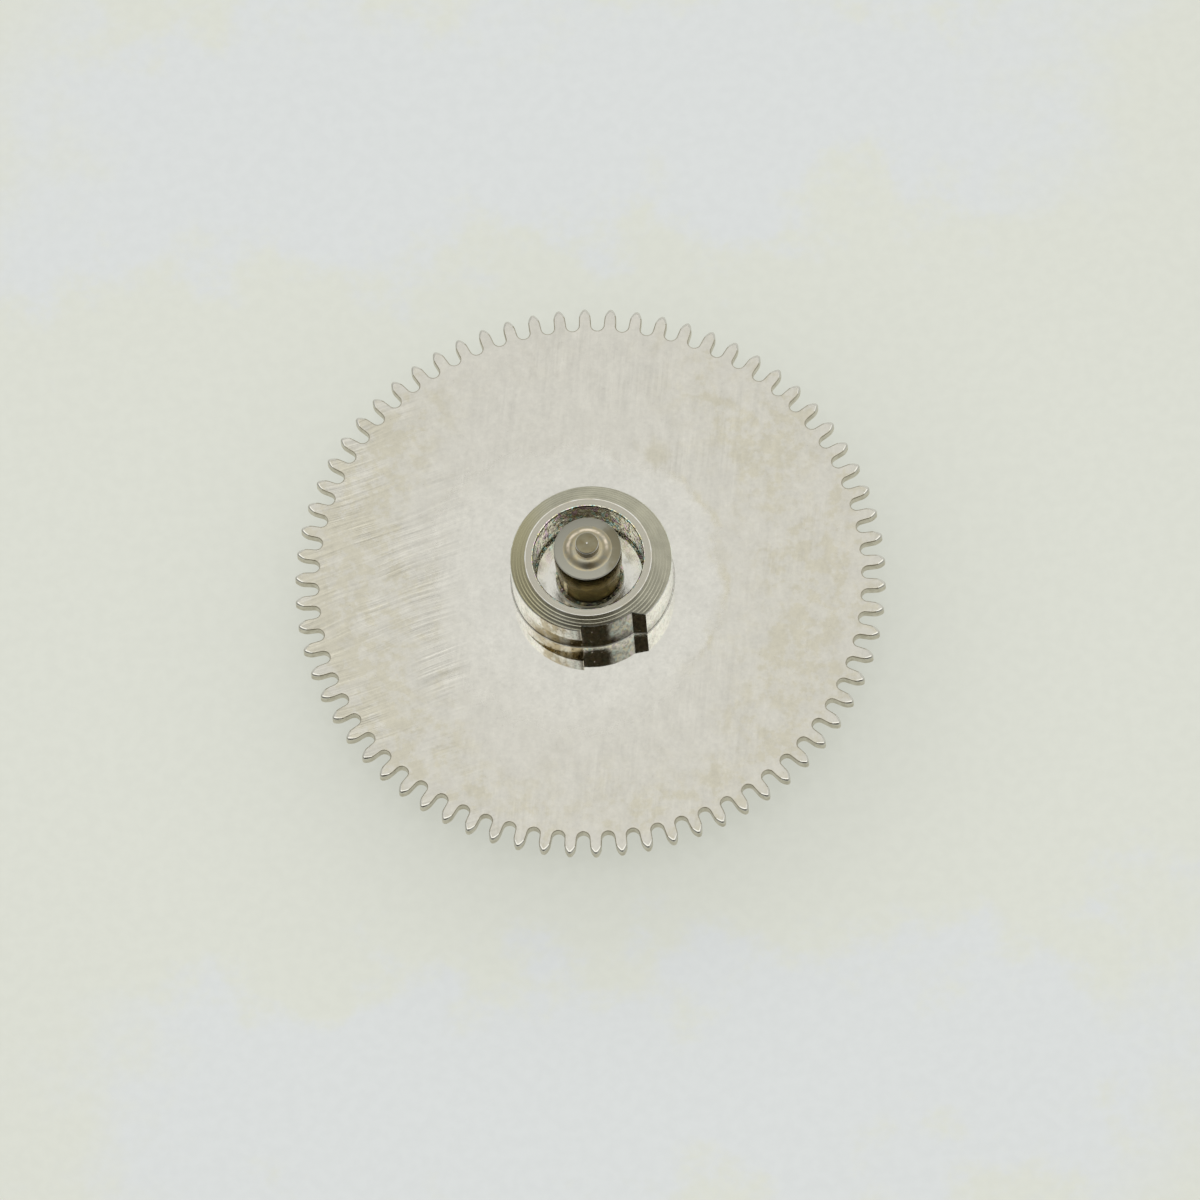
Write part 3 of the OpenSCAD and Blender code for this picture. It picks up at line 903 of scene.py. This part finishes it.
def staff_corners(s, web_top):
    """Corners of the staff's profile from the lower pivot's end to the upper pivot's.

    Each is a radius, a height, the length of its round and the finish of the surface that follows it.
    """
    bevel = s.edge_bevel
    bottom, top = STAFF_LOW.z, STAFF_HIGH.z
    pivot_bottom = top - s.pivot_length
    journal_top = pivot_bottom - s.boss_height
    foot_top = web_top + s.foot_height
    neck_bottom = foot_top + s.foot_radius - s.neck_radius
    side, face, boss, end, edge, pivot = StaffFinish
    shares = np.linspace(0, 1, 9)
    dome_radii = s.boss_radius - (s.boss_radius - s.boss_top_radius) * shares
    dome_heights = journal_top + s.boss_height * smooth_step(shares, -0.1, 1)
    dome = [(radius, height, 0.2 * bevel, boss) for radius, height in zip(dome_radii, dome_heights)]
    return [
        (0, bottom, 0, face),
        (s.bridge_pivot_radius, bottom, bevel, pivot),
        (s.bridge_pivot_radius, bottom + s.bridge_pivot_length, 0, face),
        (s.stem_radius, bottom + s.bridge_pivot_length, 0, face),
        (s.stem_radius, web_top, 0, side),
        (s.foot_radius, web_top, 0, face),
        (s.foot_radius, foot_top, 0.3 * bevel, edge),
        (s.neck_radius, neck_bottom, 0.3 * bevel, side),
        (s.neck_radius, journal_bottom(s), 0.3 * bevel, side),
        (s.journal_radius, journal_bottom(s), bevel, side),
        (s.journal_radius, journal_top - 0.5 * bevel, 0.3 * bevel, edge),
        (s.journal_radius - 0.5 * bevel, journal_top, 0.3 * bevel, face),
        *dome,
        (s.pivot_radius, pivot_bottom, 0.2 * bevel, pivot),
        (s.pivot_radius, top - 0.7 * bevel, 0.3 * bevel, edge),
        (s.pivot_radius - 0.7 * bevel, top, 0.3 * bevel, end),
        (s.centre_mark, top, 0.1 * bevel, edge),
        (0, top - 0.8 * s.centre_mark, 0, edge),
    ]


def rounded_profile(corners, steps=4):
    """Stations of a profile whose corners are cut by parabolas, each of which ends a round away from it."""
    corners = np.array(corners, float)
    place, rounds, finish = corners[:, :2], corners[:, 2:3], corners[:, 3]
    before = place - np.roll(place, 1, axis=0)
    after = np.roll(place, -1, axis=0) - place
    before[0] = after[0]
    after[-1] = before[-1]
    start = place - rounds * before / np.linalg.norm(before, axis=1, keepdims=True)
    end = place + rounds * after / np.linalg.norm(after, axis=1, keepdims=True)
    t = np.linspace(0, 1, steps)[:, None]
    curve = (1 - t) ** 2 * start[:, None] + 2 * t * (1 - t) * place[:, None] + t**2 * end[:, None]
    return np.column_stack([curve.reshape(-1, 2), np.repeat(finish, steps)])


def place_piece(piece, node):
    """Lets a finished piece stand for its CAD node: hangs it on the root body and hides the node."""
    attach(piece, "root")
    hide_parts(node)


class ARBOR_OT_stage(bpy.types.Operator):
    """Sets the pale floor, the studio's light and the camera"""

    bl_idname = "arbor.stage"
    bl_label = "Set the stage"

    def execute(self, context):
        s = context.scene.arbor_stage
        self.lay_floor(s)
        self.light_studio(context, s)
        self.aim_camera(context, s)
        return {"FINISHED"}

    def lay_floor(self, s, sides=96):
        """A round floor, a hair below the pivot that the arbor stands on, so that no faces share one plane.

        It is rings of quads round the axis, and the innermost ring is merged into one point.
        """
        rings = s.floor_radius * np.array([0, 0.02, 0.1, 0.4, 1])
        around = direction(np.linspace(0, TURN, sides + 1)[:-1])
        plane = rings[:, None, None] * around
        points = np.concatenate([plane, np.full((len(rings), sides, 1), -s.floor_drop)], axis=2)
        index = np.arange(len(rings) * sides).reshape(-1, sides)
        inner, outer = index[:-1], index[1:]
        quads = np.stack([inner, outer, np.roll(outer, -1, axis=1), np.roll(inner, -1, axis=1)], axis=-1)
        mesh = bpy.data.meshes.new("floor")
        mesh.from_pydata(points.reshape(-1, 3).tolist(), [], quads.reshape(-1, 4).tolist())
        shell = bmesh.new()
        shell.from_mesh(mesh)
        bmesh.ops.remove_doubles(shell, verts=shell.verts, dist=MERGE_DISTANCE)
        shell.to_mesh(mesh)
        shell.free()
        mesh.materials.append(self.floor_material(s))
        floor = bpy.data.objects.new("floor", mesh)
        bpy.context.scene.collection.objects.link(floor)

    def floor_tone(self, s, f):
        """The floor's colour: a fine grain, and cooler, cloudy bands before and behind the arbor."""
        band_behind, band_before = 9.3, -9.6
        clouds = f.swing(f.noise(0.45, 6.0, 0.65), 9.0)
        x, y, _ = f.axes()
        depth = f.plus(y, clouds)
        to_band = f.math("MINIMUM", f.away(depth, band_behind), f.away(depth, band_before))
        aside = f.away(f.plus(x, clouds), 0)
        cool = f.times(f.ease(to_band, 3.2, 1.6), f.ease(aside, 11.0, 8.0))
        grain = f.ease(f.noise(4.5, 3.0), 0.3, 0.7, 0.985, 1.01)
        return f.shaded(f.blend(cool, s.floor_colour, s.floor_cool_colour), grain)

    def floor_material(self, s):
        """A pale, slightly glossy plastic with a painted glow, dimmed round the arbor as a painted shadow.

        The glow is for the lens and for reflections alone, so it lifts the real shadow but lights no steel.
        """
        f = Finish("pale_floor", s.floor_colour, 0.4, metallic=0.0)
        for name, value in (("Coat Weight", 1.0), ("Coat Roughness", 0.04), ("Coat IOR", 1.5)):
            f.shader.inputs[name].default_value = value
        tone = self.floor_tone(s, f)
        f.feed(base_color=tone)
        near = f.radius(centre=(0.25, -0.9))
        reach = s.shade_reach / MM
        # painted_shadow: the glow dimmed round a point to the front right of the axis
        painted_shadow = [f.ease(near, 0.45 * reach, end * reach, 1 - s.shade_depth, 1.0) for end in (1, 0.75)]
        glow = f.node("Emission", [("Color", tone), ("Strength", f.times(*painted_shadow, s.glow_strength))])
        path = f.node("LightPath").outputs
        seen = f.math("MAXIMUM", path["Is Camera Ray"], path["Is Glossy Ray"])
        share = f.times(seen, s.floor_glow)
        mixed = f.node("MixShader", [(0, share), (1, f.shader.outputs[0]), (2, glow.outputs[0])])
        f.tree.links.new(mixed.outputs[0], f.tree.nodes["Material Output"].inputs["Surface"])
        return f.material

    def light_studio(self, context, s):
        """A light tent: a wide bright top, dimmer sides, and a dark patch round and under the lens.

        The top is an ellipse in the plane of the horizon, in coordinates of the unit vector towards it. The
        sides grow brighter to the right and to the back, and the light is a little warm.
        """
        side_growth = (0.12, 0.36, 0)
        blue_share = 0.985
        world = bpy.data.worlds.new("light_tent")
        world.use_nodes = True
        context.scene.world = world
        sky = Shading(world.node_tree)
        towards = sky.node("TexCoord").outputs["Generated"]
        from_top = sky.vector("SUBTRACT", towards, (s.top_x, s.top_y, 0))[0]
        from_top = sky.vector("MULTIPLY", from_top, (1 / s.top_half_width, 1 / s.top_half_depth, 0))[0]
        reach = sky.vector("LENGTH", from_top)["Value"]
        over_horizon = sky.ease(sky.node("SeparateXYZ", [(0, towards)]).outputs["Z"], 0.0, 0.3)
        top = sky.times(sky.ease(reach, 1.25, 0.55), over_horizon)
        side = sky.plus(sky.vector("DOT_PRODUCT", towards, side_growth)["Value"], s.side_light)
        light = sky.plus(side, sky.times(top, s.top_light - s.side_light))
        blue = sky.times(light, blue_share)
        white = sky.node("CombineColor", [(0, light), (1, light), (2, blue)]).outputs[0]
        patch = self.disc(sky, towards, s.dark_elevation, s.dark_spread, s.dark_blur)
        lens = self.disc(sky, towards, s.elevation, s.lens_spread, s.lens_blur)
        tent = sky.blend(sky.math("MAXIMUM", patch, lens), white, s.dark_colour)
        seen = sky.node("LightPath").outputs["Is Camera Ray"]
        shown = sky.blend(seen, tent, s.background)
        sky.tree.links.new(shown, sky.tree.nodes["Background"].inputs["Color"])

    def disc(self, sky, towards, elevation, spread, blur):
        """1 inside a disc of the sky on the side of -Y and 0 outside it, with a soft edge."""
        middle = (0, -math.cos(elevation), math.sin(elevation))
        facing = sky.vector("DOT_PRODUCT", towards, middle)["Value"]
        return sky.ease(facing, math.cos(spread + blur), math.cos(spread - blur))

    def aim_camera(self, context, s):
        """A long lens that looks down on the wheel from the side of -Y."""
        back = Vector((0, -math.cos(s.elevation), math.sin(s.elevation)))
        right = Vector((1, 0, 0))
        up = back.cross(right)
        camera_right = right * math.cos(s.roll) + up * math.sin(s.roll)
        camera_up = up * math.cos(s.roll) - right * math.sin(s.roll)
        aim = Vector((0, 0, WHEEL_HIGH.z))
        place = aim + back * s.distance + camera_right * s.pan_right + camera_up * s.pan_up
        data = bpy.data.cameras.new("studio_camera")
        data.lens = s.lens
        data.sensor_width = SENSOR_WIDTH
        data.clip_start = CLIP_START
        data.clip_end = CLIP_END
        camera = bpy.data.objects.new("studio_camera", data)
        turn = Matrix((camera_right, camera_up, back)).transposed().to_4x4()
        camera.matrix_world = Matrix.Translation(place) @ turn
        context.scene.collection.objects.link(camera)
        context.scene.camera = camera
        context.scene.view_settings.view_transform = "Standard"


class ARBOR_OT_wheel(bpy.types.Operator):
    """Makes the ratchet wheel with its teeth and worn edges"""

    bl_idname = "arbor.wheel"
    bl_label = "Ratchet wheel"

    def execute(self, context):
        s = context.scene.arbor_wheel
        materials = {
            WheelFinish.FACE: brushed_face_steel(s),
            WheelFinish.WORN_EDGE: worn_edge_steel(s),
            WheelFinish.FLANK: cut_flank_steel(s),
            WheelFinish.DULL_EDGE: dull_edge_steel(s),
        }
        piece = grid_object("ratchet_wheel_dressed", *wheel_grid(s), materials)
        place_piece(piece, "ratchet_wheel")
        return {"FINISHED"}


class ARBOR_OT_core(bpy.types.Operator):
    """Makes the hollow core with the mainspring's hook, and the rivet under the wheel"""

    bl_idname = "arbor.core"
    bl_label = "Hooked core"

    def execute(self, context):
        s = context.scene.arbor_core
        bore = {"roughness": 0.1, "dents": 0.7, "depth": 0.011, "film": 0.75, "specks": 0.66}
        wall = {"roughness": 0.07, "dents": 0.5, "depth": 0.003, "film": 0.12, "specks": 0.86}
        recess = {"roughness": 0.06, "dents": 0.2, "depth": 0.0022, "film": 0.2, "specks": 0.6}
        materials = {
            CoreFinish.BORE: speckled_steel(s, "core_bore", s.bore_colour, **bore),
            CoreFinish.RIM: rim_steel(s),
            CoreFinish.SLOPE: turned_slope_steel(s),
            CoreFinish.WALL: speckled_steel(s, "core_outer_wall", s.wall_colour, **wall, grime=(0, 0.8)),
            CoreFinish.RECESS: speckled_steel(s, "core_recess_wall", s.recess_colour, **recess),
            CoreFinish.WEB: web_steel(s),
            CoreFinish.UNDERCUT: speckled_steel(s, "core_undercut", s.wall_colour, **wall, grime=(0.5, 1)),
            CoreFinish.EDGE: turned_steel("core_edge", s.edge_colour, 0.16),
        }
        grid = core_grid(s, context.scene.arbor_wheel, context.scene.arbor_staff.stem_radius)
        piece = grid_object("arbor_core_dressed", *grid, materials)
        place_piece(piece, "arbor_core")
        return {"FINISHED"}


class ARBOR_OT_staff(bpy.types.Operator):
    """Makes the turned staff with its foot, neck, journal, boss and pivots"""

    bl_idname = "arbor.staff"
    bl_label = "Turned staff"

    def execute(self, context):
        s = context.scene.arbor_staff
        sides = 192
        web_top = WHEEL_HIGH.z + context.scene.arbor_core.web
        materials = {
            StaffFinish.SIDE: oily_shaded_neck_steel(s),
            StaffFinish.FACE: journal_face_steel(s),
            StaffFinish.BOSS: boss_steel(s),
            StaffFinish.PIVOT_END: turned_steel("staff_pivot_end", s.end_colour, 0.3, 0.001),
            StaffFinish.EDGE: turned_steel("staff_edge", s.edge_colour, 0.15),
            StaffFinish.PIVOT_SIDE: turned_steel("staff_pivot_side", s.pivot_colour, 0.4, 0.001),
        }
        around = direction(np.linspace(0, TURN, sides + 1)[:-1])
        grid = revolve(around, rounded_profile(staff_corners(s, web_top)))
        piece = grid_object("arbor_staff_dressed", *grid, materials, ring=False)
        place_piece(piece, "arbor_staff")
        return {"FINISHED"}


class ARBOR_PT_panel(bpy.types.Panel):
    """Lists the arbor's sizes and the buttons that build its pieces"""

    bl_idname = "ARBOR_PT_panel"
    bl_label = "Barrel arbor"
    bl_space_type = "VIEW_3D"
    bl_region_type = "UI"
    bl_category = "Arbor"

    def draw(self, context):
        for operator, group in BUTTONS:
            box = self.layout.box()
            box.operator(operator.bl_idname)
            settings = getattr(context.scene, group)
            for name in settings.__annotations__:
                box.prop(settings, name)


BUTTONS = (
    (ARBOR_OT_stage, "arbor_stage"),
    (ARBOR_OT_wheel, "arbor_wheel"),
    (ARBOR_OT_core, "arbor_core"),
    (ARBOR_OT_staff, "arbor_staff"),
)
CLASSES = (*SETTINGS.values(), *(operator for operator, _ in BUTTONS), ARBOR_PT_panel)


def register():
    for item in CLASSES:
        bpy.utils.register_class(item)
    for name, group in SETTINGS.items():
        setattr(bpy.types.Scene, name, bpy.props.PointerProperty(type=group))


def unregister():
    for name in SETTINGS:
        delattr(bpy.types.Scene, name)
    for item in reversed(CLASSES):
        bpy.utils.unregister_class(item)


def main():
    """Builds everything in order."""
    register()
    bpy.ops.arbor.stage()
    bpy.ops.arbor.wheel()
    bpy.ops.arbor.core()
    bpy.ops.arbor.staff()


if __name__ == "__main__":
    main()
